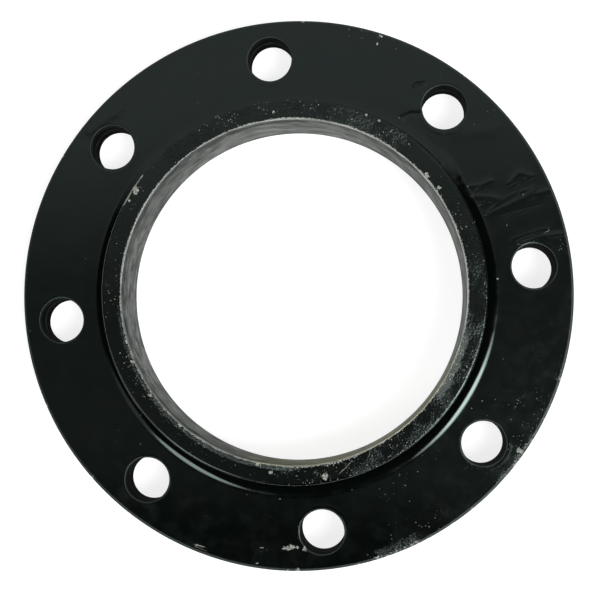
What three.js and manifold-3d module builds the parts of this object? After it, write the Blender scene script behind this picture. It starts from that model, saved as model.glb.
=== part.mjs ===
// A hubbed pipe flange with an open bore: one steel forging, machined and painted.
// NPS 6, class 150 bolting. Millimetres, +Z up.
// The flange lies on its raised gasket face, with the hub pointing up. The origin is on the bore's
// axis, in the plane of the raised face. The bolt holes straddle the X and Y centre lines.

import * as THREE from "three";
import { mergeVertices } from "three/addons/utils/BufferGeometryUtils.js";
import Module from "manifold-3d";

// Driving dimensions.
const FLANGE_DIAMETER = 279.4;
const RAISED_FACE_DIAMETER = 215.9;
const RAISED_FACE_HEIGHT = 1.6;
const FLANGE_THICKNESS = 23.9; // the raised face counts in it
const OVERALL_HEIGHT = 44;
const HUB_END_DIAMETER = 191.2;
const HUB_BASE_DIAMETER = 192.8;
const HUB_FILLET_RADIUS = 6.4;
const BORE_DIAMETER = 170.7;
const BOLT_CIRCLE_DIAMETER = 241.3;
const BOLT_HOLE_DIAMETER = 22.2;
const BOLT_HOLE_COUNT = 8;

// Broken edges.
const RIM_CHAMFER = 1;
const RAISED_FACE_CHAMFER = 0.4;
const HUB_EDGE_RADIUS = 0.9;
const BORE_HUB_CHAMFER = 0.5;
const BORE_BACK_CHAMFER = 1.5;
const BOLT_HOLE_CHAMFER = 0.5;

// How finely the round surfaces are divided.
const FLANGE_SEGMENTS = 96;
const BOLT_HOLE_SEGMENTS = 32;
const FILLET_STEPS = 5;
const HUB_EDGE_STEPS = 2;
const CUTTER_OVERRUN = 2;

const wasm = await Module();
wasm.setup();

const point = (radius, height) => new THREE.Vector2(radius, height);

// Points on an arc in the radius-height plane, from one angle to another, both ends included.
function arc(centre, radius, fromAngle, toAngle, steps) {
  const points = [];
  for (let i = 0; i <= steps; i++) {
    const angle = THREE.MathUtils.lerp(fromAngle, toAngle, i / steps);
    const radial = centre.x + radius * Math.cos(angle);
    const height = centre.y + radius * Math.sin(angle);
    points.push(point(radial, height));
  }
  return points;
}

// Half of the flange's cross-section, anticlockwise, closed on its first point.
function flangeProfile() {
  const flangeRadius = FLANGE_DIAMETER / 2;
  const faceRadius = RAISED_FACE_DIAMETER / 2;
  const boreRadius = BORE_DIAMETER / 2;
  const hubEndRadius = HUB_END_DIAMETER / 2;
  const hubBaseRadius = HUB_BASE_DIAMETER / 2;
  const hubHeight = OVERALL_HEIGHT - FLANGE_THICKNESS;

  // The hub's side leans in by this angle as it rises.
  const lean = Math.atan((hubBaseRadius - hubEndRadius) / hubHeight);

  // The fillet touches the disc's front face and the hub's leaning side.
  const filletRise = HUB_FILLET_RADIUS * (1 - Math.sin(lean));
  const filletReach = HUB_FILLET_RADIUS * Math.cos(lean) - filletRise * Math.tan(lean);
  const filletCentre = point(hubBaseRadius + filletReach, FLANGE_THICKNESS + HUB_FILLET_RADIUS);
  const fillet = arc(
    filletCentre,
    HUB_FILLET_RADIUS,
    -Math.PI / 2,
    -Math.PI + lean,
    FILLET_STEPS,
  );

  // The round on the hub's outer edge touches the leaning side and the hub's end face.
  const edgeDrop = HUB_EDGE_RADIUS * (1 - Math.sin(lean));
  const edgeReach = HUB_EDGE_RADIUS * Math.cos(lean) - edgeDrop * Math.tan(lean);
  const edgeCentre = point(hubEndRadius - edgeReach, OVERALL_HEIGHT - HUB_EDGE_RADIUS);
  const hubEdge = arc(edgeCentre, HUB_EDGE_RADIUS, lean, Math.PI / 2, HUB_EDGE_STEPS);

  const profile = [
    point(boreRadius, BORE_BACK_CHAMFER),
    point(boreRadius + BORE_BACK_CHAMFER, 0),
    point(faceRadius - RAISED_FACE_CHAMFER, 0),
    point(faceRadius, RAISED_FACE_CHAMFER),
    point(faceRadius, RAISED_FACE_HEIGHT),
    point(flangeRadius - RIM_CHAMFER, RAISED_FACE_HEIGHT),
    point(flangeRadius, RAISED_FACE_HEIGHT + RIM_CHAMFER),
    point(flangeRadius, FLANGE_THICKNESS - RIM_CHAMFER),
    point(flangeRadius - RIM_CHAMFER, FLANGE_THICKNESS),
    ...fillet,
    ...hubEdge,
    point(boreRadius + BORE_HUB_CHAMFER, OVERALL_HEIGHT),
    point(boreRadius, OVERALL_HEIGHT - BORE_HUB_CHAMFER),
  ];
  profile.push(profile[0].clone());
  return profile;
}

// Half of a bolt hole's cutter: a plain shank that flares at both faces to leave a chamfer there.
function holeCutterProfile() {
  const shankRadius = BOLT_HOLE_DIAMETER / 2;
  const flareRadius = shankRadius + BOLT_HOLE_CHAMFER + CUTTER_OVERRUN;
  const bottom = RAISED_FACE_HEIGHT;
  const top = FLANGE_THICKNESS;
  return [
    point(0, bottom - CUTTER_OVERRUN),
    point(flareRadius, bottom - CUTTER_OVERRUN),
    point(shankRadius, bottom + BOLT_HOLE_CHAMFER),
    point(shankRadius, top - BOLT_HOLE_CHAMFER),
    point(flareRadius, top + CUTTER_OVERRUN),
    point(0, top + CUTTER_OVERRUN),
  ];
}

// A profile turned about the Z axis. LatheGeometry turns about Y, so it is stood up afterwards.
function turned(profile, segments) {
  const geometry = new THREE.LatheGeometry(profile, segments);
  geometry.rotateX(Math.PI / 2);
  return geometry;
}

// A closed geometry as a solid that can be joined and cut.
function solidFrom(geometry) {
  const bare = geometry.clone();
  bare.deleteAttribute("normal");
  bare.deleteAttribute("uv");
  const merged = mergeVertices(bare, 1e-4);
  const mesh = new wasm.Mesh({
    numProp: 3,
    vertProperties: merged.attributes.position.array,
    triVerts: new Uint32Array(merged.index.array),
  });
  return new wasm.Manifold(mesh);
}

// A solid as a geometry that can be drawn.
function geometryFrom(solid) {
  const mesh = solid.getMesh();
  const geometry = new THREE.BufferGeometry();
  geometry.setAttribute("position", new THREE.BufferAttribute(mesh.vertProperties, 3));
  geometry.setIndex(new THREE.BufferAttribute(mesh.triVerts, 1));
  geometry.computeVertexNormals();
  return geometry;
}

// The forging: a disc with a raised gasket face below, a hub above, and one bore through both.
function forgingGeometry() {
  const cutterGeometry = turned(holeCutterProfile(), BOLT_HOLE_SEGMENTS);
  let forging = solidFrom(turned(flangeProfile(), FLANGE_SEGMENTS));
  const pitch = (2 * Math.PI) / BOLT_HOLE_COUNT;
  for (let i = 0; i < BOLT_HOLE_COUNT; i++) {
    const angle = (i + 0.5) * pitch;
    const cutter = cutterGeometry
      .clone()
      .translate(BOLT_CIRCLE_DIAMETER / 2, 0, 0)
      .rotateZ(angle);
    forging = forging.subtract(solidFrom(cutter));
  }
  return geometryFrom(forging);
}

const blackEnamel = new THREE.MeshStandardMaterial({
  name: "black_enamel",
  color: new THREE.Color(0.035, 0.04, 0.038),
  roughness: 0.28,
  metalness: 0,
});

const forging = new THREE.Mesh(forgingGeometry(), blackEnamel);
forging.name = "flange_forging";

const flange = new THREE.Group();
flange.name = "open_bore_hub_flange";
flange.add(forging);

export default flange;
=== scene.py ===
"""Looks for the hubbed pipe flange: a forged ring in glossy black enamel, with a bored steel bore
and a faced gasket ring. Lengths are in millimetres until a mesh is written, which is in metres.
Angles are in degrees, anticlockwise about +Z from +X."""

import math

import bmesh
import bpy
import numpy as np
from mathutils import Matrix, Vector


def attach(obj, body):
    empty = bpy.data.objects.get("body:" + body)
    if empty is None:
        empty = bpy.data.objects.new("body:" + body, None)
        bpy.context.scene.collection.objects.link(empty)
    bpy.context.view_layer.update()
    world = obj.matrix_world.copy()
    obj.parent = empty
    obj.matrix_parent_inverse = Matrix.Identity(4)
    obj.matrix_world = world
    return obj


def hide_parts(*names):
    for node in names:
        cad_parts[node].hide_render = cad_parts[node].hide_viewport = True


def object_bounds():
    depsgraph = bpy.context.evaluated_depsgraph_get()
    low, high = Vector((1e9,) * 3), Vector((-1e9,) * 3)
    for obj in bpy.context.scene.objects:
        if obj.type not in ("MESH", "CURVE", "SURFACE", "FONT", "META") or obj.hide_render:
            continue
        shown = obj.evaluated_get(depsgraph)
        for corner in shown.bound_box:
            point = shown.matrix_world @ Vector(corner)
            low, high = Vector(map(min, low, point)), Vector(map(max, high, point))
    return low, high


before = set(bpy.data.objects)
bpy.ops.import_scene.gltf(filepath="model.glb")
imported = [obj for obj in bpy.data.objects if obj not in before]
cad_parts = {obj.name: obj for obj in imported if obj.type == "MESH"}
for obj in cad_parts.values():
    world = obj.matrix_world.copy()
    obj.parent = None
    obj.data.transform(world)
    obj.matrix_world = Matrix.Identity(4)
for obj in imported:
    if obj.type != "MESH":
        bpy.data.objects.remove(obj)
cad_low, cad_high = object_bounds()

MM = 0.001

# The flange's sizes. The outer two come from the frame, the others repeat the part's own.
FLANGE_RADIUS = cad_high.x / MM
OVERALL_HEIGHT = cad_high.z / MM
FACE_RADIUS = 107.95
FACE_HEIGHT = 1.6
DISC_TOP = 23.9
HUB_END_RADIUS = 95.6
HUB_BASE_RADIUS = 96.4
FILLET_RADIUS = 6.4
HUB_EDGE_RADIUS = 0.9
BORE_RADIUS = 85.35
BORE_TOP_CHAMFER = 0.5
BORE_BACK_CHAMFER = 1.5
FACE_CHAMFER = 0.4
BOLT_CIRCLE_RADIUS = 120.65
BOLT_HOLE_RADIUS = 11.1
BOLT_HOLE_CHAMFER = 0.5
BOLT_HOLES = 8

# Worked out from them. The hub's side leans in by HUB_LEAN as it rises.
SECTOR = 360 / BOLT_HOLES
LIP_RADIUS = BORE_RADIUS + BORE_TOP_CHAMFER
BACK_LIP_RADIUS = BORE_RADIUS + BORE_BACK_CHAMFER
HOLE_MOUTH_RADIUS = BOLT_HOLE_RADIUS + BOLT_HOLE_CHAMFER
HUB_LEAN = math.degrees(math.atan((HUB_BASE_RADIUS - HUB_END_RADIUS) / (OVERALL_HEIGHT - DISC_TOP)))

# The enamel's own round on the rim, and the middle of its curved break at a bolt hole's front edge,
# as its distance from the hole's wall and from the disc's face.
RIM_ROUND = 0.45
HOLE_BREAK = (0.12, 0.14)

# The web is the flat ring that holds the bolt holes, on the front between these radii.
WEB_INNER = 103.9
WEB_OUTER = 138.3

# The gasket face's turned grooves.
GROOVE_PITCH = 0.8
GROOVE_DEPTH = 0.06

# The machined piece is this thick. The enamelled one stops short of it by HIDDEN_GAP inside.
SKIN = 1.0
HIDDEN_GAP = 0.03

# How finely the meshes are divided: round the axis, from a bolt hole to its sector's border, and
# along each stretch of the cross-section.
AROUND_SECTOR = 128
AROUND = AROUND_SECTOR * BOLT_HOLES
AROUND_MACHINED = 384
ACROSS_SECTOR = 40
WEB_RINGS_FRONT = 20
WEB_RINGS_BACK = 6
WEB_RING_GROWTH = 1.35
HOLE_WALL_STEPS = 8
FILLET_STEPS = 12
HUB_SIDE_STEPS = 14
HUB_EDGE_STEPS = 5
HUB_END_STEPS = 18
RIM_SIDE_STEPS = 16
RIM_BACK_STEPS = 3
RIM_FRONT_STEPS = 4
BORE_STEPS = 44
BORE_BACK_STEPS = 3
CHAMFER_STEPS = 2
GROOVE_STEPS = 4
WELD_DIGITS = 4


def smoothstep(low, high, x):
    t = np.clip((x - low) / (high - low), 0, 1)
    return t * t * (3 - 2 * t)


def fading(low, high, x):
    """1 up to low, easing to 0 at high."""
    return 1 - smoothstep(low, high, x)


def ridge(x, middle, half):
    """A smooth ridge, 1 at the middle and falling off over about half."""
    return np.exp(-(((x - middle) / half) ** 2))


# ---------------- noise

MASK = 0xFFFFFFFF


def lattice(ix, iy, iz, seed):
    """A repeatable random number from -1 to 1 for each whole-number place."""
    h = (ix * 73856093) ^ (iy * 19349663) ^ (iz * 83492791) ^ (seed * 40503)
    h = h & MASK
    h = ((h ^ (h >> 13)) * 1274126177) & MASK
    h = ((h ^ (h >> 16)) * 668265263) & MASK
    h = h ^ (h >> 15)
    return (h & 0xFFFF) / 32767.5 - 1


def noise(points, size, seed=0):
    """Smooth noise from -1 to 1, with lumps of about this size (one number, or one for each axis)."""
    p = points / np.broadcast_to(np.asarray(size, float), (3,))
    cell = np.floor(p).astype(np.int64)
    f = p - cell
    f = f * f * f * (f * (6 * f - 15) + 10)
    total = 0
    for dx in (0, 1):
        for dy in (0, 1):
            for dz in (0, 1):
                weight = (
                    (f[:, 0] if dx else 1 - f[:, 0])
                    * (f[:, 1] if dy else 1 - f[:, 1])
                    * (f[:, 2] if dz else 1 - f[:, 2])
                )
                corner = lattice(cell[:, 0] + dx, cell[:, 1] + dy, cell[:, 2] + dz, seed)
                total = total + weight * corner
    return total


def fractal(points, size, octaves=3, seed=0):
    """Noise with finer noise on it, from about -1 to 1."""
    size = np.asarray(size, float)
    total, weight = 0, 0
    for i in range(octaves):
        total = total + noise(points, size / 2**i, seed + 17 * i) / 2**i
        weight += 1 / 2**i
    return total / weight


# ---------------- mesh parts


class Shell:
    """Gathers grids of points that share their borders, and welds them into one closed mesh."""

    def __init__(self):
        self.points, self.normals, self.quads = [], [], []
        self.count = 0

    def grid(self, points, normals):
        """Adds rows by columns of points, with the last column joined to the first."""
        rows, columns = points.shape[:2]
        index = np.arange(rows * columns).reshape(rows, columns) + self.count
        ahead = np.roll(index, -1, axis=1)
        quads = np.stack([index[:-1], ahead[:-1], ahead[1:], index[1:]], axis=-1)
        self.quads.append(quads.reshape(-1, 4))
        self.points.append(points.reshape(-1, 3))
        self.normals.append(normals.reshape(-1, 3))
        self.count += rows * columns

    def welded(self):
        """Points, unit normals and quads, with points at the same place made one."""
        points = np.concatenate(self.points)
        normals = np.concatenate(self.normals)
        quads = np.concatenate(self.quads)
        keys = np.round(points, WELD_DIGITS)
        _, first, same = np.unique(keys, axis=0, return_index=True, return_inverse=True)
        same = same.reshape(-1)
        facing = np.zeros((len(first), 3))
        np.add.at(facing, same, normals)
        facing /= np.maximum(np.linalg.norm(facing, axis=1, keepdims=True), 1e-9)
        return points[first], facing, same[quads]


def arc(centre, radius, from_deg, to_deg, steps):
    """Points on an arc in the radius-height plane."""
    a = np.radians(np.linspace(from_deg, to_deg, steps + 1))
    return [(centre[0] + radius * math.cos(t), centre[1] + radius * math.sin(t)) for t in a]


def line(start, end, steps):
    """Points from start up to but not including end."""
    t = np.arange(steps)[:, None] / steps
    return [tuple(p) for p in np.asarray(start) * (1 - t) + np.asarray(end) * t]


def profile_normals(outline, outward):
    """The normal at each point of an open outline, turned to the side that outward says."""
    p = np.asarray(outline, float)
    along = np.gradient(p, axis=0)
    along /= np.maximum(np.linalg.norm(along, axis=1, keepdims=True), 1e-9)
    return np.stack([along[:, 1], -along[:, 0]], axis=1) * outward


def turn(shell, outline, outward=1, columns=AROUND):
    """Adds a strip turned about Z from an open outline of (radius, height) points."""
    a = np.radians(np.arange(columns) * 360 / columns)

    def swept(pairs):
        level = np.broadcast_to(pairs[:, 1:], (len(pairs), columns))
        return np.stack([pairs[:, :1] * np.cos(a), pairs[:, :1] * np.sin(a), level], axis=-1)

    shell.grid(swept(np.asarray(outline, float)), swept(profile_normals(outline, outward)))


def sector_border(inner, outer):
    """The border of the web round one bolt hole, from the sector's first corner round to itself,
    as (angle from the hole's middle, radius)."""
    half = SECTOR / 2
    across = inner + (outer - inner) * np.arange(ACROSS_SECTOR) / ACROSS_SECTOR
    along = -half + SECTOR * np.arange(AROUND_SECTOR) / AROUND_SECTOR
    side = np.full(ACROSS_SECTOR, half)
    angle = np.concatenate([along, side, -along, -side])
    inner_arc, outer_arc = np.full(AROUND_SECTOR, inner), np.full(AROUND_SECTOR, outer)
    radius = np.concatenate([inner_arc, across, outer_arc, inner + outer - across])
    return angle, radius


def hole_ring(radius):
    """Points round a bolt hole, one for each point of the front web's border, about its centre."""
    angle, r = sector_border(WEB_INNER, WEB_OUTER)
    a = np.radians(angle)
    x = r * np.cos(a) - BOLT_CIRCLE_RADIUS
    y = r * np.sin(a)
    far = np.hypot(x, y)
    return np.stack([BOLT_CIRCLE_RADIUS + radius * x / far, radius * y / far], axis=-1)


def web(shell, inner, height, up, rings):
    """Adds a flat face with the bolt holes in it, as rings of points that grow out of each hole."""
    angle, r = sector_border(inner, WEB_OUTER)
    a = np.radians(angle)
    border = np.stack([r * np.cos(a), r * np.sin(a)], axis=-1)
    hole = hole_ring(HOLE_MOUTH_RADIUS)
    share = (np.arange(rings + 1) / rings) ** WEB_RING_GROWTH
    flat = hole[None] * (1 - share[:, None, None]) + border[None] * share[:, None, None]
    add_to_holes(shell, flat, np.full(flat.shape[:2], height), np.array([0, 0, up]))


def add_to_holes(shell, flat, heights, normal):
    """Adds a grid of points round the first hole to every hole. normal is one direction, or one
    for each point."""
    normals = np.broadcast_to(normal, (*flat.shape[:2], 3))
    for i in range(BOLT_HOLES):
        a = math.radians((i + 0.5) * SECTOR)
        turned = np.array([[math.cos(a), math.sin(a)], [-math.sin(a), math.cos(a)]])
        points = np.concatenate([flat @ turned, heights[..., None]], axis=-1)
        facing = np.concatenate([normals[..., :2] @ turned, normals[..., 2:]], axis=-1)
        shell.grid(points, facing)


def hole_walls(shell):
    """Adds the walls of the bolt holes, with the small breaks at both ends."""
    upper = (BOLT_HOLE_RADIUS, DISC_TOP - BOLT_HOLE_CHAMFER)
    lower = (BOLT_HOLE_RADIUS, FACE_HEIGHT + BOLT_HOLE_CHAMFER)
    outline = [
        (HOLE_MOUTH_RADIUS, DISC_TOP),
        (BOLT_HOLE_RADIUS + HOLE_BREAK[0], DISC_TOP - HOLE_BREAK[1]),
        *line(upper, lower, HOLE_WALL_STEPS),
        lower,
        (HOLE_MOUTH_RADIUS, FACE_HEIGHT),
    ]
    flat = np.stack([hole_ring(r) for r, _ in outline])
    heights = np.stack([np.full(flat.shape[1], z) for _, z in outline])
    wall = hole_ring(BOLT_HOLE_RADIUS)
    inward = np.stack([BOLT_CIRCLE_RADIUS - wall[:, 0], -wall[:, 1]], axis=-1) / BOLT_HOLE_RADIUS
    slope = profile_normals(outline, -1)
    level = inward[None] * -slope[:, None, :1]
    upright = np.broadcast_to(slope[:, None, 1:], (len(outline), len(inward), 1))
    add_to_holes(shell, flat, heights, np.concatenate([level, upright], axis=-1))


def reach_from_lean(radius):
    """How far along a level face, from the hub's leaning side, the centre of a round lies that
    touches both."""
    lean = math.radians(HUB_LEAN)
    return radius * math.cos(lean) - radius * (1 - math.sin(lean)) * math.tan(lean)


def hub_outline():
    """From the web's inner border, through the fillet, up the hub's side and over its end."""
    fillet_centre = (HUB_BASE_RADIUS + reach_from_lean(FILLET_RADIUS), DISC_TOP + FILLET_RADIUS)
    fillet = arc(fillet_centre, FILLET_RADIUS, -90, -180 + HUB_LEAN, FILLET_STEPS)
    edge_centre = (
        HUB_END_RADIUS - reach_from_lean(HUB_EDGE_RADIUS),
        OVERALL_HEIGHT - HUB_EDGE_RADIUS,
    )
    edge = arc(edge_centre, HUB_EDGE_RADIUS, HUB_LEAN, 90, HUB_EDGE_STEPS)
    return [
        (WEB_INNER, DISC_TOP),
        *fillet[:-1],
        *line(fillet[-1], edge[0], HUB_SIDE_STEPS),
        *edge[:-1],
        *line(edge[-1], (LIP_RADIUS, OVERALL_HEIGHT), HUB_END_STEPS),
        (LIP_RADIUS, OVERALL_HEIGHT),
    ]


def hidden_outline():
    """Just behind the machined piece, from its upper edge to its outer one."""
    radius = BORE_RADIUS + SKIN + HIDDEN_GAP
    height = SKIN + HIDDEN_GAP
    return [
        (LIP_RADIUS, OVERALL_HEIGHT),
        (radius, OVERALL_HEIGHT - SKIN),
        (radius, BORE_BACK_CHAMFER + height),
        (BACK_LIP_RADIUS + SKIN, height),
        (FACE_RADIUS - SKIN, height),
        (FACE_RADIUS, FACE_HEIGHT),
    ]


def rim_outline():
    """From the web's back border, round the rim, to its front border."""
    middle = FLANGE_RADIUS - RIM_ROUND
    back_round = arc((middle, FACE_HEIGHT + RIM_ROUND), RIM_ROUND, -90, 0, RIM_BACK_STEPS)
    front_round = arc((middle, DISC_TOP - RIM_ROUND), RIM_ROUND, 0, 90, RIM_FRONT_STEPS)
    return [
        (WEB_OUTER, FACE_HEIGHT),
        *back_round[:-1],
        *line(back_round[-1], front_round[0], RIM_SIDE_STEPS),
        *front_round,
        (WEB_OUTER, DISC_TOP),
    ]


def painted_shell():
    """The whole forging, hollowed a little where the machined piece covers it."""
    shell = Shell()
    turn(shell, hub_outline())
    turn(shell, hidden_outline(), outward=-1)
    web(shell, FACE_RADIUS, FACE_HEIGHT, -1, WEB_RINGS_BACK)
    hole_walls(shell)
    web(shell, WEB_INNER, DISC_TOP, 1, WEB_RINGS_FRONT)
    turn(shell, rim_outline())
    return shell


def grooved_face(inner, outer):
    """Points along the gasket face, from the bore outward, down and up its turned grooves."""
    grooves = round((outer - inner) / GROOVE_PITCH)
    steps = grooves * GROOVE_STEPS
    share = np.arange(steps) / steps
    radius = inner + (outer - inner) * share
    depth = GROOVE_DEPTH * (1 - np.cos(2 * math.pi * grooves * share)) / 2
    return list(zip(radius, depth, strict=True))


def machined_shell():
    """The bored wall and the faced gasket ring, as one thin closed ring with an L section."""
    shell = Shell()
    bore_top = (BORE_RADIUS, OVERALL_HEIGHT - BORE_TOP_CHAMFER)
    bore_back = (BORE_RADIUS, BORE_BACK_CHAMFER)
    face_edge = (FACE_RADIUS, FACE_CHAMFER)
    section = [
        *line((LIP_RADIUS, OVERALL_HEIGHT), bore_top, CHAMFER_STEPS),
        *line(bore_top, bore_back, BORE_STEPS),
        *line(bore_back, (BACK_LIP_RADIUS, 0), BORE_BACK_STEPS),
        *grooved_face(BACK_LIP_RADIUS, FACE_RADIUS - FACE_CHAMFER),
        *line((FACE_RADIUS - FACE_CHAMFER, 0), face_edge, CHAMFER_STEPS),
        face_edge,
        (FACE_RADIUS, FACE_HEIGHT),
        (FACE_RADIUS - SKIN, SKIN),
        (BACK_LIP_RADIUS + SKIN, SKIN),
        (BORE_RADIUS + SKIN, BORE_BACK_CHAMFER + SKIN),
        (BORE_RADIUS + SKIN, OVERALL_HEIGHT - SKIN),
        (LIP_RADIUS, OVERALL_HEIGHT),
    ]
    turn(shell, section, columns=AROUND_MACHINED)
    return shell


def make_piece(name, points, quads, attributes):
    """A smooth mesh object in metres, its faces turned outward, with these numbers on its points."""
    mesh = bpy.data.meshes.new(name)
    mesh.from_pydata((points * MM).tolist(), [], quads.tolist())
    build = bmesh.new()
    build.from_mesh(mesh)
    bmesh.ops.recalc_face_normals(build, faces=build.faces)
    build.to_mesh(mesh)
    build.free()
    mesh.polygons.foreach_set("use_smooth", np.ones(len(mesh.polygons), bool))
    for key, values in attributes.items():
        made = mesh.attributes.new(key, "FLOAT", "POINT")
        made.data.foreach_set("value", values.astype(np.float32))
    mesh.update()
    piece = bpy.data.objects.new(name, mesh)
    bpy.context.scene.collection.objects.link(piece)
    return piece


# ---------------- marks in the enamel

# Places on the flange are (angle, radius). A run is a path, its half width and how far it stands
# proud of the enamel round it (below zero, it is a furrow).
RUNS = [
    ([(38.5, 105), (38.5, 115), (39, 126), (38, 139)], 1.1, 0.15),
    ([(41.5, 104), (40.5, 112), (40.5, 121), (40, 131)], 0.8, 0.08),
    ([(44.5, 103), (42.5, 109), (41, 113)], 1.2, 0.12),
    ([(47.5, 104), (46.5, 108), (46, 114)], 0.9, 0.16),
    ([(43.5, 122), (44.5, 128), (42.5, 133)], 1.1, 0.16),
    ([(37, 112), (36.5, 122), (36, 131)], 0.9, -0.06),
    ([(28.5, 117), (29, 126), (28.5, 138)], 1.3, 0.14),
    ([(30, 112), (30.5, 121), (30.5, 130)], 0.9, 0.06),
    ([(61, 115), (58, 122), (56, 129)], 3.5, 0.07),
    ([(75, 104.5), (73.5, 108.5), (71.5, 111)], 0.8, -0.16),
    ([(77, 121.5), (76.5, 124), (75.5, 125.5)], 0.8, 0.14),
    ([(158, 135.5), (155.5, 134.5), (153.5, 133), (151, 131)], 2.0, 0.12),
    ([(279.5, 114), (279, 122), (278.5, 129), (277.5, 138.5)], 0.8, 0.05),
    ([(56.5, 99.5), (53, 100), (49.5, 99.5)], 1.3, 0.30),
    ([(60, 101.5), (56, 102), (52, 101)], 1.5, 0.22),
]

# Where the enamel is gone on the disc and on its rim: (angle, radius, size).
DISC_CHIPS = [
    (88, 138, 0.8),
    (88, 133.5, 0.7),
    (238, 139.5, 0.9),
    (286.5, 139, 0.9),
    (20, 102, 0.7),
    (278.5, 129, 0.5),
    (278, 137, 0.6),
    (283.5, 128.5, 1.0),
    (284.5, 128, 1.3),
    (285.5, 127.5, 1.0),
    (286.5, 128, 0.7),
    (288, 128.5, 1.1),
    (341, 137, 1.2),
]

# Where it is gone on the hub's end and outer edge.
HUB_CHIPS = [
    (57, 87, 1.2),
    (51.5, 88, 0.9),
    (163, 94, 1.5),
    (164, 93, 1.1),
    (167, 93.5, 0.7),
    (213, 86, 0.9),
    (219.5, 87, 0.7),
    (232, 87.5, 0.8),
    (246, 86, 0.9),
    (262, 86, 0.8),
    (274.5, 86.5, 1.3),
    (279, 89.5, 0.8),
    (296, 92.5, 1.5),
    (79.5, 94.5, 0.7),
    (83.5, 94.5, 0.6),
    (112.5, 89.5, 0.6),
]

# Gritty patches of the disc, partly painted glints: (angle, radius, size).
DISC_GRIT_AND_GLINTS = [
    (350, 122, 9),
    (353, 133, 7),
    (347, 132, 7),
    (341, 136, 8),
    (332, 123, 5),
    (327, 107, 4.5),
    (324, 103.5, 3),
    (311, 108, 5),
    (310, 114, 4.5),
    (315.5, 108, 4),
    (307, 134, 9),
    (311, 134, 8),
    (318, 131, 5),
    (92, 138, 8),
    (84, 137, 6),
    (74, 137, 6),
    (60, 137, 5),
    (26, 138, 5),
    (279, 130, 3),
]

# Thin pale scratches and drips: a path and its half width, on the disc or on the hub's end.
DISC_SCRATCHES = [
    ([(4.5, 107.5), (4, 112), (4, 118.5)], 0.20),
    ([(264.5, 136.5), (266.5, 136)], 0.28),
    ([(287, 117.5), (287, 123)], 0.10),
    ([(1.5, 125), (1.5, 128)], 0.2),
]
HUB_SCRATCHES = [
    ([(300.5, 92), (303, 90), (305, 88)], 0.12),
    ([(158.5, 95), (163, 95), (169, 95)], 0.35),
]

# A stretch is a middle angle, degrees to each side, degrees of fading and, in these tables, a
# strength.

# How coarse the enamel lies on the hub's end, and near the bore.
COARSE_BASE = 0.05
COARSE_STRETCHES = [
    (326, 20, 12, 0.20),
    (298, 14, 10, 0.09),
    (8, 14, 12, 0.22),
    (38, 9, 8, 0.16),
    (84, 13, 8, 0.32),
    (126, 20, 10, 0.22),
    (186, 9, 6, 0.15),
]
COARSE_BY_BORE = 0.4
COARSE_BORE_STRETCH = (245, 38, 12)
COARSE_BORE_RADII = (86.6, 89.5)

# How much grit, partly painted glints, lies on the hub's end and in the disc's gritty patches.
GRIT_GLINT_BASE = 0.05
GRIT_GLINT_STRETCHES = [
    (318, 30, 14, 0.55),
    (103, 26, 12, 0.28),
    (184, 18, 10, 0.12),
    (18, 22, 10, 0.22),
]
GRIT_GLINT_IN_PATCHES = 0.42

# How strongly the painted highlight along the hub's outer edge shows, drawn as pale rubbed
# enamel. The last stretch shows it less than the rest.
EDGE_HIGHLIGHT_BASE = 0.36
EDGE_HIGHLIGHT_STRETCHES = [
    (208, 39, 12, 0.66),
    (262, 20, 20, 0.35),
    (322, 24, 10, 0.50),
    (14, 18, 8, -0.36),
]

# How uneven the hub's edge and side are.
UNEVEN_BASE = 0.35
UNEVEN_STRETCHES = [
    (84, 12, 8, 1.0),
    (322, 26, 12, 0.8),
]

# Bands beside the bore and along the rim: a stretch, a strength, the radii that the band fades
# between and how far its border wanders. The borders of the grit and painted glints don't.
GRIT_GLINTS_BY_BORE = [
    ((248, 42, 16), 0.55, (87.5, 92.5), 0),
    ((0, 180, 1), 0.15, (86.0, 87.2), 0),
]
GRIT_GLINTS_BY_RIM = [
    ((308, 5, 4), 0.50, (131, 136), 0),
    ((340, 16, 10), 0.45, (135.0, 139.0), 0),
]
PEELED_BY_BORE = [
    ((352, 8, 5), 0.62, (87.5, 91.5), 2),
    ((297, 9, 4), 0.8, (86.4, 88), 1),
]
STAIN_BY_BORE = [
    ((351, 9, 6), 0.74, (88.0, 91.5), 2),
]
RUBBED_BY_RIM = [
    ((308, 4, 3), 0.46, (130.5, 136), 2.5),
    ((339, 5, 4), 0.55, (135, 138.5), 1.5),
    ((89, 9, 6), 0.42, (136, 139), 3),
]

# The rim is worn from this radius outward, and from further in along these stretches. The wear
# fades in between these heights.
WORN_RIM_RADIUS = 139.6
WORN_RIM = (327, 27, 12)
WORN_RIM_STRETCHES = [
    (*WORN_RIM, -0.9),
    (340, 4, 4, -1.0),
    (308, 4, 3, -1.2),
]
WORN_RIM_HEIGHTS = (15, 21)

# Heights and radii that tell the enamelled surface's parts apart. A pair is a fade.
HUB_END_HEIGHTS = (43.2, 43.95)
HUB_EDGE_HEIGHTS = (40.5, 42.8)
HUB_EDGE_RADII = (93.2, 95.0)
HUB_WITHIN = 97
HUB_TOP_ABOVE = 42
DISC_FROM = 101
DISC_BELOW = 25
DISC_ABOVE = 21.5
FRONT_ABOVE = 20
FACING_UP = (0.9, 0.99)

# Across these heights and radii the enamel comes to keep inside the forging's own size. A chip is
# sunk by CHIP_DEPTH, and points nearer than HAIR count as being at the same place.
BOUND_HEIGHTS = (42.5, 43.9)
BOUND_RADII = (136.0, 139.6)
CHIP_DEPTH = 0.10
HAIR = 0.01


def flat_place(angle, radius):
    a = math.radians(angle)
    return radius * math.cos(a), radius * math.sin(a)


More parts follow.
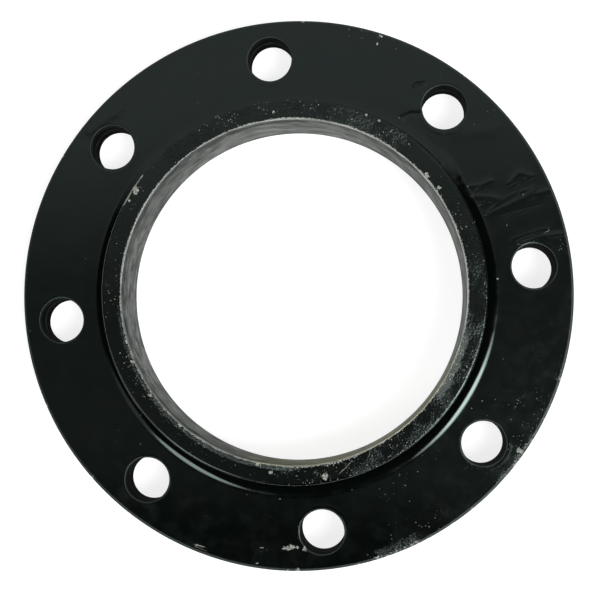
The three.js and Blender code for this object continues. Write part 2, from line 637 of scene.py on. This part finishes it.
def offset_from(flat, path):
    """How far each flat point is from a path, and on which side: below zero is the right side."""
    best = np.full(len(flat), 1e6)
    side = np.ones(len(flat))
    corners = [np.array(flat_place(*place)) for place in path]
    for start, end in zip(corners[:-1], corners[1:], strict=True):
        along = end - start
        t = np.clip((flat - start) @ along / (along @ along), 0, 1)
        away = flat - start - t[:, None] * along
        d = np.hypot(away[:, 0], away[:, 1])
        nearer = d < best
        best = np.where(nearer, d, best)
        side = np.where(nearer, np.sign(along[0] * away[:, 1] - along[1] * away[:, 0]), side)
    return best * side


def around(theta, middle, half, soft):
    """1 within half of the middle angle, falling to 0 over soft degrees more."""
    d = np.abs((theta - middle + 180) % 360 - 180)
    return fading(half, half + soft, d)


def strongest(theta, base, stretches):
    """The strongest stretch at each angle, and at least base."""
    most = np.full(len(theta), base)
    for middle, half, soft, strength in stretches:
        most = np.maximum(most, strength * around(theta, middle, half, soft))
    return most


def summed(theta, base, stretches):
    """Base plus all the stretches at each angle."""
    total = np.full(len(theta), base)
    for middle, half, soft, strength in stretches:
        total = total + strength * around(theta, middle, half, soft)
    return total


def bands(s, table, ragged, inward):
    """Each band of a table. It grows towards the bore if inward is true, or else towards the rim."""
    ease = fading if inward else smoothstep
    for stretch, strength, radii, wander in table:
        yield strength * around(s.theta, *stretch) * ease(*radii, s.radius + wander * ragged)


class Surface:
    """Where the points of the enamelled forging lie."""

    def __init__(self, points, normals):
        self.points, self.normals = points, normals
        x, y, z = points.T
        self.flat = points[:, :2]
        self.radius = np.hypot(x, y)
        self.theta = np.degrees(np.arctan2(y, x)) % 360
        self.height = z
        self.hub_end = smoothstep(*HUB_END_HEIGHTS, z) * (self.radius < HUB_WITHIN)
        at_edge = smoothstep(*HUB_EDGE_RADII, self.radius)
        self.hub_edge = smoothstep(*HUB_EDGE_HEIGHTS, z) * at_edge
        facing_up = smoothstep(*FACING_UP, normals[:, 2])
        self.disc = facing_up * (z < DISC_BELOW) * (self.radius > DISC_FROM)
        self.on_disc = (z > DISC_ABOVE) & (z < DISC_BELOW)
        self.on_hub = z > HUB_TOP_ABOVE
        self.front = (z > FRONT_ABOVE) & (z < HUB_TOP_ABOVE)
        middle = np.radians(np.floor(self.theta / SECTOR) * SECTOR + SECTOR / 2)
        hole_x = BOLT_CIRCLE_RADIUS * np.cos(middle)
        hole_y = BOLT_CIRCLE_RADIUS * np.sin(middle)
        self.from_hole = np.hypot(x - hole_x, y - hole_y) - BOLT_HOLE_RADIUS

    def distance(self, angle, radius):
        """How far each point is from a place, seen from above."""
        x, y = flat_place(angle, radius)
        return np.hypot(self.flat[:, 0] - x, self.flat[:, 1] - y)


def coarse_enamel(s):
    """How rough the enamel lies, from 0 to 1: the hub's end has thick and uneven stretches."""
    by_angle = strongest(s.theta, COARSE_BASE, COARSE_STRETCHES)
    by_bore = around(s.theta, *COARSE_BORE_STRETCH) * fading(*COARSE_BORE_RADII, s.radius)
    patchy = 0.65 + 0.35 * smoothstep(-0.25, 0.3, fractal(s.points, 6, 2, seed=12))
    return np.maximum(by_angle * patchy, COARSE_BY_BORE * by_bore) * s.hub_end


def grit_and_glint_share(s):
    """How much pale grit, partly painted glints, shows in the enamel, as the share of its small
    places that hold a speck.
    """
    patchy = smoothstep(-0.45, 0.3, fractal(s.points, 4, 2, seed=13))
    hub = summed(s.theta, GRIT_GLINT_BASE, GRIT_GLINT_STRETCHES)
    for band in bands(s, GRIT_GLINTS_BY_BORE, 0, inward=True):
        hub = hub + band
    disc = np.zeros(len(s.theta))
    for angle, radius, size in DISC_GRIT_AND_GLINTS:
        patch = fading(0, 1.2 * size, s.distance(angle, radius))
        disc = np.maximum(disc, GRIT_GLINT_IN_PATCHES * patch)
    for band in bands(s, GRIT_GLINTS_BY_RIM, 0, inward=False):
        disc = disc + band
    return (hub * s.hub_end + disc * s.on_disc) * patchy


def placed_chips(s):
    """The chips in the two tables, each with a ragged outline."""
    gone = np.zeros(len(s.points))
    wobble = fractal(s.points, 1.8, 2, seed=7)
    for chips, part in ((DISC_CHIPS, s.on_disc), (HUB_CHIPS, s.on_hub)):
        for angle, radius, size in chips:
            far = s.distance(angle, radius) + 0.7 * size * wobble
            gone = np.maximum(gone, np.clip(1 - far / (2 * size), 0, 1) * part)
    return gone


def peeled_hub_end(s, ragged):
    """The bore's bare edge on the hub's end, and two stretches where the enamel has peeled."""
    width = 1.1 + 0.7 * ragged
    edge = np.clip(1 - (s.radius - LIP_RADIUS) / width, 0, 1)
    peeled = np.maximum(*bands(s, PEELED_BY_BORE, ragged, inward=True))
    return np.maximum(0.8 * edge, 0.62 * peeled) * s.hub_end


def worn_rim(s, ragged):
    """The worn stretch of the rim's upper edge."""
    reach = summed(s.theta, WORN_RIM_RADIUS, WORN_RIM_STRETCHES)
    worn = smoothstep(-1.0, 1.4, s.radius - reach + 1.5 * ragged) * around(s.theta, *WORN_RIM)
    worn = worn * smoothstep(*WORN_RIM_HEIGHTS, s.height + 2.5 * ragged)
    return 0.44 * worn * (s.radius > 130)


def rim_knocks(s):
    """Small knocks all along the rim's upper edge."""
    knocks = smoothstep(0.50, 0.8, fractal(s.points, 5.0, 2, seed=9)) * (s.radius > 138.9)
    return 0.75 * knocks * (np.abs(s.height - DISC_TOP) < 1.6)


def chipped(s):
    """How nearly the enamel is gone, from 0 (sound) to 1 (bare), before the ragged edge."""
    ragged = fractal(s.points, 3.2, 3, seed=5)
    gone = np.maximum(placed_chips(s), peeled_hub_end(s, ragged))
    gone = np.maximum(gone, worn_rim(s, ragged))
    return np.maximum(gone, rim_knocks(s))


def rubbed_disc(s, ragged):
    """Rubbed patches by the rim and one bolt hole, and two streaks with sound enamel between."""
    inner_streak = ridge(s.radius, 136.6 + 0.5 * ragged, 0.55)
    outer_streak = smoothstep(138.2, 139.0, s.radius + 0.4 * ragged)
    streaks = around(s.theta, 325, 13, 6) * np.maximum(inner_streak, outer_streak)
    at_hole = around(s.theta, 332, 4, 2) * fading(0.8, 2.6, s.from_hole + ragged)
    rub_and_highlight = np.maximum(0.34 * streaks, 0.36 * at_hole)
    for band in bands(s, RUBBED_BY_RIM, ragged, inward=False):
        rub_and_highlight = np.maximum(rub_and_highlight, band)
    return rub_and_highlight * (s.height > 18)


def painted_hub_edge_highlight(s, ragged):
    """Painted highlight: a pale line, drawn as rubbed enamel, along the hub's rounded outer edge
    nearly all the way round.
    """
    along = summed(s.theta, EDGE_HIGHLIGHT_BASE, EDGE_HIGHLIGHT_STRETCHES)
    return ridge(s.radius, 95.3, 0.28) * (s.height > 42.8) * (along + 0.25 * ragged)


def rubs_and_edge_highlight(s):
    """Where the gloss is rubbed to a pale grey, and the painted highlight along the hub's edge, from
    0 to 1.
    """
    ragged = fractal(s.points, 2.4, 3, seed=21)
    (stain,) = bands(s, STAIN_BY_BORE, ragged, inward=True)
    scuff = np.maximum(rubbed_disc(s, ragged), stain * s.hub_end)
    # The hub's edge gets a painted highlight in the rubbed enamel's grey.
    return np.clip(np.maximum(scuff, painted_hub_edge_highlight(s, ragged)), 0, 1)


def thin_edges(s):
    """1 where the enamel is pulled thin and dull, on the rim's and the bolt holes' front edges."""
    rim = smoothstep(138.9, 139.2, s.radius)
    hole = fading(0.5, 0.8, s.from_hole)
    return np.maximum(rim, hole) * (s.height > 22.5) * (s.height < 25)


def scratches(s):
    """The nearest scratch's offset, in its own widths, and how strongly it shows."""
    offset = np.full(len(s.points), 3.0)
    for paths, part in ((DISC_SCRATCHES, s.on_disc), (HUB_SCRATCHES, s.on_hub)):
        for path, half in paths:
            d = offset_from(s.flat, path) / (2 * half)
            offset = np.where((np.abs(d) < np.abs(offset)) & part, d, offset)
    return offset, fading(1.2, 2.6, np.abs(offset))


def runs(s):
    """The nearest run's offset, in its own half widths, and its height in mm."""
    offset = np.full(len(s.points), 3.0)
    height = np.zeros(len(s.points))
    for path, half, tall in RUNS:
        d = offset_from(s.flat, path) / half
        nearer = (np.abs(d) < np.abs(offset)) & s.front
        offset = np.where(nearer, d, offset)
        height = np.where(nearer, tall, height)
    return offset, height * fading(1.7, 2.6, np.abs(offset))


def enamel_relief(s, coarse):
    """How far the enamel stands off the forging's surface, in mm."""
    p = s.points
    relief = 0.030 * fractal(p, 18, 2, seed=1) + 0.006 * fractal(p, 6, 2, seed=2)
    relief = relief * (1 - 0.35 * s.disc)
    for path, half, height in RUNS:
        crest = ridge(offset_from(s.flat, path), 0, 1.3 * half)
        relief = relief + 0.45 * height * crest * s.front
    # Enamel gathers round the bolt holes.
    ring = ridge(s.from_hole, 1.9, 0.9) * (1 + 0.7 * noise(p, 6, seed=33))
    relief = relief + 0.022 * ring * s.disc
    # It lies unevenly on the hub's edge and side, and coarsely on its end.
    uneven = strongest(s.theta, UNEVEN_BASE, UNEVEN_STRETCHES) * s.hub_edge
    relief = relief + 0.16 * fractal(p, (3.4, 3.4, 6), 3, seed=41) * uneven
    return relief + 0.07 * coarse * fractal(p, 2.1, 3, seed=51)


def within_forging(s, relief, chips):
    """The relief, kept inside the forging's top and rim, and none where the piece is out of sight."""
    bound = np.maximum(smoothstep(*BOUND_HEIGHTS, s.height), smoothstep(*BOUND_RADII, s.radius))
    kept = relief * (1 - bound) + bound * np.minimum(relief, 0)
    relief = np.where(bound > 0, kept, relief)
    relief = relief - CHIP_DEPTH * smoothstep(0.45, 0.7, chips)
    hidden = (s.radius < FACE_RADIUS + HAIR) & (s.height < OVERALL_HEIGHT - HAIR)
    hidden &= (s.normals[:, 2] < 0.05) | (s.radius < BORE_RADIUS + 1.2)
    hidden |= s.radius < LIP_RADIUS + HAIR
    hidden |= s.height < FACE_HEIGHT + HAIR
    return np.where(hidden, 0, relief)


# ---------------- materials


def rgb(r, g, b):
    return (r, g, b, 1.0)


WHITE = rgb(1, 1, 1)

# The enamel's two tones and its mirror tint, rubbed enamel that also draws the painted highlight on
# the hub's edge, the painted reflection in the bolt holes, the steel in the chips, and the pale grit
# and dust, the grit partly painted glints.
ENAMEL_GREEN, ENAMEL_OLIVE = rgb(0.0004, 0.0012, 0.0011), rgb(0.0010, 0.0013, 0.0008)
ENAMEL_TINT = rgb(0.80, 1.0, 0.94)
RUB_AND_HIGHLIGHT_DARK, RUB_AND_HIGHLIGHT_LIGHT = rgb(0.012, 0.014, 0.014), rgb(0.072, 0.074, 0.062)
HOLE_REFLECTION = rgb(0.026, 0.033, 0.030)
CHIP_DARK, CHIP_LIGHT = rgb(0.075, 0.078, 0.060), rgb(0.34, 0.34, 0.31)
GRIT_AND_GLINT = rgb(0.20, 0.205, 0.175)

# The bored steel, clean and with an olive tarnish.
STEEL_DARK, STEEL_LIGHT = rgb(0.11, 0.12, 0.115), rgb(0.63, 0.66, 0.63)
TARNISH_DARK, TARNISH_LIGHT = rgb(0.15, 0.155, 0.105), rgb(0.68, 0.69, 0.55)

# The painted reflection bands in the bolt holes (height, half width), and the bore's tool marks
# (height, half width, strength).
HOLE_REFLECTION_BANDS = [(21.6, 1.3), (13, 2.6)]
TOOL_MARKS = [(42.9, 0.30, 1.0), (41.4, 0.35, 1.0), (39.2, 0.5, 0.7)]


def fill(tree, socket, value):
    """Gives a socket a link or a plain value."""
    if isinstance(value, bpy.types.NodeSocket):
        tree.links.new(value, socket)
    else:
        socket.default_value = value


def add_node(tree, kind, *values, **settings):
    """A node with these settings, and with these values or links in its first sockets."""
    made = tree.nodes.new("ShaderNode" + kind)
    for key, setting in settings.items():
        setattr(made, key, setting)
    for i, value in enumerate(values):
        fill(tree, made.inputs[i], value)
    return made


class Nodes:
    """Short names for building a material's nodes."""

    def __init__(self, name):
        self.material = bpy.data.materials.new(name)
        self.material.use_nodes = True
        self.tree = self.material.node_tree
        self.tree.nodes.clear()
        self.shader = self.add("BsdfPrincipled")
        self.add("OutputMaterial", self.shader.outputs["BSDF"])
        scale = self.add("VectorMath", self.add("TexCoord").outputs["Object"], operation="SCALE")
        scale.inputs["Scale"].default_value = 1 / MM
        self.place_mm = scale.outputs[0]

    def add(self, kind, *values, **settings):
        return add_node(self.tree, kind, *values, **settings)

    def set(self, key, value):
        fill(self.tree, self.shader.inputs[key], value)

    def math(self, operation, *values, clamp=False):
        return self.add("Math", *values, operation=operation, use_clamp=clamp).outputs[0]

    def ramp(self, value, low, high, out_low=0.0, out_high=1.0):
        """Value eased from low..high to out_low..out_high."""
        spans = (low, high, out_low, out_high)
        return self.add("MapRange", value, *spans, interpolation_type="SMOOTHSTEP").outputs[0]

    def stretched(self, stretch):
        """The place in mm, divided along each axis by stretch."""
        return self.add("VectorMath", self.place_mm, stretch, operation="DIVIDE").outputs[0]

    def shaken(self, size, reach):
        """The place in mm, moved this way and that by noise with lumps of this size, over reach."""
        cloud = self.add("TexNoise", self.place_mm)
        cloud.inputs["Scale"].default_value = 1 / size
        values = (cloud.outputs["Color"], (reach, reach, reach), self.place_mm)
        return self.add("VectorMath", *values, operation="MULTIPLY_ADD").outputs[0]

    def noise(self, size, detail=2.0, stretch=None):
        """Noise from 0 to 1 with lumps of about this many mm."""
        made = self.add("TexNoise", self.stretched(stretch) if stretch else self.place_mm)
        made.inputs["Scale"].default_value = 1 / size
        made.inputs["Detail"].default_value = detail
        return made.outputs["Fac"]

    def specks(self, spacing, size, share):
        """Up to 1 in ragged spots of about this size, in this share of the cells of this spacing."""
        made = self.add("TexVoronoi", self.shaken(0.9 * size, 1.6 * size))
        made.inputs["Scale"].default_value = 1 / spacing
        split = self.add("SeparateColor", made.outputs["Color"]).outputs
        larger = self.ramp(split[2], 0.0, 1.0, 0.55, 1.25)
        far = self.math("DIVIDE", made.outputs["Distance"], larger)
        spot = self.ramp(far, size / spacing, 0.6 * size / spacing)
        kept = self.math("LESS_THAN", split[0], share)
        kept = self.math("MULTIPLY", kept, self.ramp(split[1], 0.0, 1.0, 0.15, 1.0))
        return self.math("MULTIPLY", spot, kept)

    def attribute(self, name):
        return self.add("Attribute", attribute_name=name).outputs["Fac"]

    def height(self):
        """The height above the gasket face in mm."""
        return self.add("SeparateXYZ", self.place_mm).outputs["Z"]

    def near(self, value, middle, half):
        """1 where the value is at the middle, falling to 0 at half away from it."""
        away = self.math("ABSOLUTE", self.math("SUBTRACT", value, middle))
        return self.ramp(away, half, 0.4 * half)

    def mix(self, factor, low, high):
        made = self.add("Mix", factor, data_type="RGBA")
        fill(self.tree, made.inputs[6], low)
        fill(self.tree, made.inputs[7], high)
        return made.outputs[2]

    def bump(self, height, depth_mm, below=None):
        made = self.add("Bump")
        made.inputs["Distance"].default_value = depth_mm * MM
        fill(self.tree, made.inputs["Height"], height)
        if below:
            fill(self.tree, made.inputs["Normal"], below)
        return made.outputs["Normal"]


def bare_spots(n):
    """1 where the enamel is gone down to the steel."""
    chips = n.attribute("chips")
    ragged = n.math("MULTIPLY_ADD", n.noise(0.9, 3), 0.9, chips)
    bare = n.ramp(n.math("SUBTRACT", ragged, 0.45), 0.44, 0.54)
    return n.math("MULTIPLY", bare, n.ramp(chips, 0.02, 0.12))


def rubs_and_highlight_spots(n):
    """1 where the enamel is rubbed dull, and along the painted highlight on the hub's edge."""
    scuffs_and_highlight = n.attribute("scuffs_and_highlight")
    rub_and_highlight = n.ramp(n.math("MULTIPLY_ADD", n.noise(0.5, 3), 1.2, scuffs_and_highlight), 1.02, 1.40)
    return n.math("MULTIPLY", rub_and_highlight, n.ramp(scuffs_and_highlight, 0.05, 0.3))


def pale_marks(n):
    """1 in the scratches, the dust and the grit, the grit partly painted glints."""
    away = n.math("ABSOLUTE", n.attribute("scratch_offset"))
    broken = n.math("MULTIPLY_ADD", n.noise(1.3, 3), 1.3, away)
    scratch = n.math("MULTIPLY", n.ramp(broken, 1.25, 0.85), n.attribute("scratch_strength"))
    dust = n.specks(4.2, 0.30, 0.16)
    # Pale grit specks, partly painted glints.
    grit_and_glints = n.specks(0.85, 0.30, n.attribute("grit_and_glints"))
    return n.math("MAXIMUM", n.math("MAXIMUM", scratch, dust), grit_and_glints)


def painted_hole_reflections(n):
    """Up to 1 in the painted reflections: lighter bands in the bolt holes' walls."""
    wander = n.math("MULTIPLY_ADD", n.noise(5, 2), 1.2, n.height())
    ring = 0.0
    for middle, half in HOLE_REFLECTION_BANDS:
        ring = n.math("MAXIMUM", ring, n.near(wander, middle, half))
    ring = n.math("MULTIPLY", ring, n.ramp(n.noise(6, 3), 0.35, 0.6, 0.25, 1.0))
    return n.math("MULTIPLY", ring, n.attribute("hole_wall"))


def enamel_colour(n, bare, rub_and_highlight, pale):
    paint = n.mix(n.ramp(n.noise(22, 3), 0.35, 0.7), ENAMEL_GREEN, ENAMEL_OLIVE)
    dull = n.mix(n.noise(0.8, 3), RUB_AND_HIGHLIGHT_DARK, RUB_AND_HIGHLIGHT_LIGHT)
    steel = n.mix(n.ramp(n.noise(0.9, 3), 0.3, 0.7), CHIP_DARK, CHIP_LIGHT)
    # Rubbed enamel, and the painted highlight along the hub's edge, in dull grey.
    colour = n.mix(rub_and_highlight, paint, dull)
    # Painted reflection: lighter bands on the bolt holes' walls.
    colour = n.mix(painted_hole_reflections(n), colour, HOLE_REFLECTION)
    colour = n.mix(bare, colour, steel)
    # Scratches, dust and pale grit, the grit partly painted glints.
    return n.mix(pale, colour, GRIT_AND_GLINT)


def enamel_roughness(n, bare, rub_and_highlight, pale):
    rough = n.ramp(n.noise(7, 3), 0.3, 0.75, 0.07, 0.13)
    rough = n.math("MULTIPLY_ADD", rub_and_highlight, 0.33, rough)
    rough = n.math("MULTIPLY_ADD", bare, 0.35, rough)
    rough = n.math("MULTIPLY_ADD", n.attribute("edges"), 0.50, rough)
    return n.math("MULTIPLY_ADD", pale, 0.3, rough, clamp=True)


def enamel_bumps(n, bare, rub_and_highlight):
    """The runs' crests, orange peel, the coarse hub end, worn spots and sunken chips."""
    wobble = n.math("MULTIPLY_ADD", n.noise(3.5, 2), 0.7, -0.35)
    across = n.math("ADD", n.attribute("run_offset"), wobble)
    crest = n.math("POWER", math.e, n.math("MULTIPLY", n.math("MULTIPLY", across, across), -1.0))
    crest = n.math("MULTIPLY", crest, n.attribute("run_height"))
    drawn = n.bump(crest, 0.35)
    peel = n.bump(n.noise(1.5, 1), 0.006, below=drawn)
    lumps = n.ramp(n.noise(1.0, 3), 0.30, 0.74)
    grain = n.math("MULTIPLY", lumps, n.ramp(n.attribute("coarse"), 0.02, 0.9))
    coarse = n.bump(grain, 0.50, below=peel)
    worn = n.math("MULTIPLY", n.math("MAXIMUM", rub_and_highlight, bare), n.noise(0.35, 2))
    worn = n.math("SUBTRACT", worn, n.math("MULTIPLY", bare, 1.5))
    return n.bump(worn, 0.05, below=coarse)


def enamel():
    """Glossy black-green enamel, with the marks that the mesh's attributes place."""
    n = Nodes("black_enamel")
    bare, rub_and_highlight, pale = bare_spots(n), rubs_and_highlight_spots(n), pale_marks(n)
    n.set("Base Color", enamel_colour(n, bare, rub_and_highlight, pale))
    n.set("Roughness", enamel_roughness(n, bare, rub_and_highlight, pale))
    n.set("Specular Tint", ENAMEL_TINT)
    n.set("Normal", enamel_bumps(n, bare, rub_and_highlight))
    return n.material


def bored_steel():
    """Dull bored steel with tool marks, stains and an olive tarnish. It is darker towards the hub's
    end, as painted shade away from the pale floor."""
    n = Nodes("bored_steel")
    hoop = n.noise(1.0, 3, stretch=(22, 22, 0.8))
    cloud = n.noise(7, 3)
    height = n.math("MULTIPLY_ADD", n.noise(16, 2), 0.5, n.height())
    mark = 0.0
    for middle, half, strength in TOOL_MARKS:
        mark = n.math("MAXIMUM", mark, n.math("MULTIPLY", n.near(height, middle, half), strength))
    mark = n.math("MULTIPLY", mark, n.ramp(n.noise(18, 3), 0.35, 0.55, 0.25, 1.0))
    tone = n.math("MULTIPLY_ADD", hoop, 0.85, n.math("MULTIPLY", cloud, 0.35))
    # Painted shade: darker towards the hub's end.
    tone = n.math("SUBTRACT", tone, n.ramp(height, 28, 44, 0.0, 0.10))
    tone = n.math("SUBTRACT", tone, n.math("MULTIPLY", mark, 0.30))
    tone = n.math("SUBTRACT", tone, n.math("MULTIPLY", n.attribute("stain"), 0.32))
    tone = n.ramp(tone, 0.15, 0.85)
    clean = n.mix(tone, STEEL_DARK, STEEL_LIGHT)
    tarnish = n.mix(tone, TARNISH_DARK, TARNISH_LIGHT)
    n.set("Base Color", n.mix(n.attribute("olive"), clean, tarnish))
    n.set("Roughness", n.ramp(cloud, 0.3, 0.7, 0.34, 0.52))
    n.set("Metallic", 0.65)
    n.set("Normal", n.bump(n.noise(0.5, 2, stretch=(6, 6, 0.5)), 0.02))
    return n.material


# ---------------- pieces


def painted_forging():
    points, normals, quads = painted_shell().welded()
    s = Surface(points, normals)
    coarse = coarse_enamel(s)
    chips = chipped(s)
    relief = within_forging(s, enamel_relief(s, coarse), chips)
    scratch_offset, scratch_strength = scratches(s)
    run_offset, run_height = runs(s)
    attributes = {
        "chips": chips,
        "scuffs_and_highlight": rubs_and_edge_highlight(s),
        "coarse": coarse,
        "grit_and_glints": grit_and_glint_share(s),
        "scratch_offset": scratch_offset,
        "scratch_strength": scratch_strength,
        "run_offset": run_offset,
        "run_height": run_height,
        "edges": thin_edges(s),
        "hole_wall": 1.0 * ((s.from_hole < 0.3) & (s.height > 2) & (s.height < 23.6)),
    }
    moved = points + normals * relief[:, None]
    piece = make_piece("painted_forging", moved, quads, attributes)
    piece.data.materials.append(enamel())
    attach(piece, "root")
    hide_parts("flange_forging")


def bore_stain(points, theta):
    """How stained the bored steel is: two bands, the foot of the bore and a broad blotchy side."""
    height = points[:, 2]
    cloud = fractal(points, (9, 9, 5), 3, seed=61)
    band = around(theta, 148, 40, 12) * ridge(height, 38 + 0.6 * cloud, 1.3)
    low_band = around(theta, 158, 26, 10) * ridge(height, 33.5 + cloud, 1.2)
    band = np.maximum(band, 0.7 * low_band)
    foot = fading(2, 9, height + 3 * cloud)
    blotches = smoothstep(0.0, 0.6, cloud) * (0.30 + 0.40 * around(theta, 222, 44, 20))
    stain = np.maximum(0.9 * band, np.maximum(0.5 * foot, blotches))
    stain = np.maximum(stain, 0.45 * around(theta, 216, 60, 40))
    return stain * (height > HAIR)


def machined_bore_and_face():
    points, _, quads = machined_shell().welded()
    theta = np.degrees(np.arctan2(points[:, 1], points[:, 0])) % 360
    attributes = {"stain": bore_stain(points, theta), "olive": around(theta, 312, 32, 18)}
    piece = make_piece("machined_bore_and_face", points, quads, attributes)
    piece.data.materials.append(bored_steel())
    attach(piece, "root")
    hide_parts("flange_forging")


# ---------------- camera, floor and light

# The camera looks down on the hub from almost straight above. VIEW_TURN is how far the picture's
# right-hand side is turned from +X. The lens and the sensor are in mm, as the places are.
VIEW_TURN = 16.15
CAMERA_PLACE = (53.5, -23.5, 734.7)
CAMERA_AIM = (1.3, -1.9, 0.0)
CAMERA_LENS = 84.4
CAMERA_SENSOR = 36

# The floor lies just under the flange. It and the lamps' distance are in metres.
FLOOR_HALF = 6.0
FLOOR_DROP = 0.2 * MM
LAMP_DISTANCE = 7.0

# A soft lamp is three ovals in one place, each wider than the last: its shares of the brightness.
LAMP_SHARES = (0.52, 0.33, 0.15)

# How bright the room is: its dark sides, its ceiling, its pale wall, the floor well away from the
# flange and the shaded floor beneath it. The wall and the ceiling's dark side are in these
# directions of the picture.
ROOM_DARK, ROOM_CEILING, ROOM_PALE = 0.005, 0.16, 0.59
ROOM_FLOOR, ROOM_BELOW = 0.45, 0.015
ROOM_WALL = 95
ROOM_DARK_SIDE = 265
BACKDROP = rgb(0.85, 0.85, 0.85)

# Where the room's parts fade, in lengths of a unit direction: towards the wall or the dark side,
# its level part, and upward.
WALL_TOWARD = (0.06, 0.20)
WALL_SIDES = (0.48, 0.74)
WALL_LOW_DOWN = (0.26, 0.42)
CEILING_TOWARD_DARK = (0.125, 0.07)
CEILING_LEVEL = (0.45, 0.25)
HORIZON_UP = (-0.05, 0.2)
FLOOR_UP = (-0.06, -0.14)
FLANGE_SHADE_UP = (-0.85, -0.55)


def picture_direction(angle):
    """The level direction at this angle from the picture's right-hand side."""
    a = math.radians(angle + VIEW_TURN)
    return Vector((math.cos(a), math.sin(a), 0))


def aimed(name, data, place, back, right):
    """A camera or lamp at a place, with its back and its right-hand side in these directions."""
    turned = Matrix((right, back.cross(right), back)).transposed()
    made = bpy.data.objects.new(name, data)
    made.matrix_world = Matrix.Translation(place) @ turned.to_4x4()
    bpy.context.scene.collection.objects.link(made)
    return made


def camera():
    place, aim = Vector(CAMERA_PLACE) * MM, Vector(CAMERA_AIM) * MM
    back = (place - aim).normalized()
    right = picture_direction(90).cross(back).normalized()
    data = bpy.data.cameras.new("camera")
    data.lens = CAMERA_LENS
    data.sensor_width = CAMERA_SENSOR
    data.clip_start, data.clip_end = 0.05, 50
    bpy.context.scene.camera = aimed("camera", data, place, back, right)


def floor():
    """A plain pale floor. It lights the flange from below but isn't mirrored in the enamel."""
    half = FLOOR_HALF
    corners = [(-half, -half, 0), (half, -half, 0), (half, half, 0), (-half, half, 0)]
    mesh = bpy.data.meshes.new("floor")
    mesh.from_pydata(corners, [], [(0, 1, 2, 3)])
    made = bpy.data.objects.new("floor", mesh)
    made.location.z = -FLOOR_DROP
    made.visible_glossy = False
    bpy.context.scene.collection.objects.link(made)
    n = Nodes("floor_white")
    n.set("Base Color", rgb(0.35, 0.35, 0.35))
    n.set("Roughness", 0.9)
    n.set("Specular IOR Level", 0.0)
    n.set("Emission Color", WHITE)
    n.set("Emission Strength", 0.8)
    mesh.materials.append(n.material)


def softbox(name, azimuth, tilt, width, depth, radiance):
    """An oval area light that faces the flange. Azimuth is the picture's angle and tilt is measured
    from straight up. Width (round the axis) and depth (along the tilt) are degrees of the sky."""
    a = math.radians(tilt)
    back = picture_direction(azimuth) * math.sin(a) + Vector((0, 0, math.cos(a)))
    right = Vector((0, 0, 1)).cross(back).normalized()
    data = bpy.data.lights.new(name, "AREA")
    data.shape = "ELLIPSE"
    data.size = 2 * LAMP_DISTANCE * math.tan(math.radians(width / 2))
    data.size_y = 2 * LAMP_DISTANCE * math.tan(math.radians(depth / 2))
    area = math.pi / 4 * data.size * data.size_y
    data.energy = radiance * area * math.pi
    aimed(name, data, back * LAMP_DISTANCE, back, right).visible_camera = False


def soft_lamp(name, azimuth, tilt, width, depth, radiance, blur):
    """A lamp whose brightness falls off softly towards its edge. The last oval is wider than the
    first by the share that blur says."""
    for i, share in enumerate(LAMP_SHARES):
        size = 1 + blur * i / (len(LAMP_SHARES) - 1)
        softbox(f"{name}_{i}", azimuth, tilt, width * size, depth * size, radiance * share)


def surroundings():
    """A dim room with one pale wall, which the enamel mirrors. The camera itself sees it pale."""
    world = bpy.data.worlds.new("world")
    bpy.context.scene.world = world
    world.use_nodes = True
    tree = world.node_tree
    tree.nodes.clear()

    def vector(operation, *values):
        return add_node(tree, "VectorMath", *values, operation=operation).outputs

    def number(operation, *values):
        return add_node(tree, "Math", *values, operation=operation).outputs[0]

    def eased(value, low, high):
        spans = (value, low, high)
        return add_node(tree, "MapRange", *spans, interpolation_type="SMOOTHSTEP").outputs[0]

    toward = add_node(tree, "TexCoord").outputs["Generated"]
    upward = add_node(tree, "SeparateXYZ", toward).outputs["Z"]
    level = vector("MULTIPLY", toward, (1, 1, 0))[0]
    spread = vector("LENGTH", level)["Value"]
    to_wall = vector("DOT_PRODUCT", toward, picture_direction(ROOM_WALL))["Value"]
    to_dark = vector("DOT_PRODUCT", toward, picture_direction(ROOM_DARK_SIDE))["Value"]

    # Overhead the wall's light fades in gently. Lower down it ends at the wall's two sides.
    facing = number("DIVIDE", to_wall, number("MAXIMUM", spread, 0.001))
    low_down = eased(spread, *WALL_LOW_DOWN)
    sides = number("SUBTRACT", eased(facing, *WALL_SIDES), 1.0)
    kept = number("MULTIPLY_ADD", low_down, sides, 1.0)
    wall = number("MULTIPLY", eased(to_wall, *WALL_TOWARD), kept)

    ceiling = number("MULTIPLY", eased(to_dark, *CEILING_TOWARD_DARK), eased(spread, *CEILING_LEVEL))
    glow = number("MULTIPLY_ADD", ceiling, ROOM_CEILING - ROOM_DARK, ROOM_DARK)
    glow = number("MULTIPLY_ADD", wall, number("SUBTRACT", ROOM_PALE, glow), glow)
    strength = number("MULTIPLY_ADD", glow, eased(upward, *HORIZON_UP), ROOM_BELOW)
    floor_glow = number("MULTIPLY", eased(upward, *FLOOR_UP), eased(upward, *FLANGE_SHADE_UP))
    strength = number("MULTIPLY_ADD", floor_glow, ROOM_FLOOR, strength)

    room = add_node(tree, "Background", WHITE, strength)
    pale = add_node(tree, "Background", BACKDROP)
    seen = add_node(tree, "LightPath").outputs["Is Camera Ray"]
    mix = add_node(tree, "MixShader", seen, room.outputs[0], pale.outputs[0])
    add_node(tree, "OutputWorld", mix.outputs[0])


def lights():
    soft_lamp("lamp_right", azimuth=329.5, tilt=28.5, width=12, depth=21, radiance=33, blur=0.75)
    soft_lamp("lamp_left", azimuth=229.5, tilt=31, width=11, depth=25, radiance=12, blur=0.35)
    softbox("lamp_left_edge", azimuth=208, tilt=32, width=14, depth=34, radiance=0.5)
    softbox("lamp_low_left", azimuth=182, tilt=83, width=62, depth=14, radiance=1.7)
    surroundings()
    bpy.context.scene.view_settings.view_transform = "Standard"


camera()
painted_forging()
machined_bore_and_face()
floor()
lights()
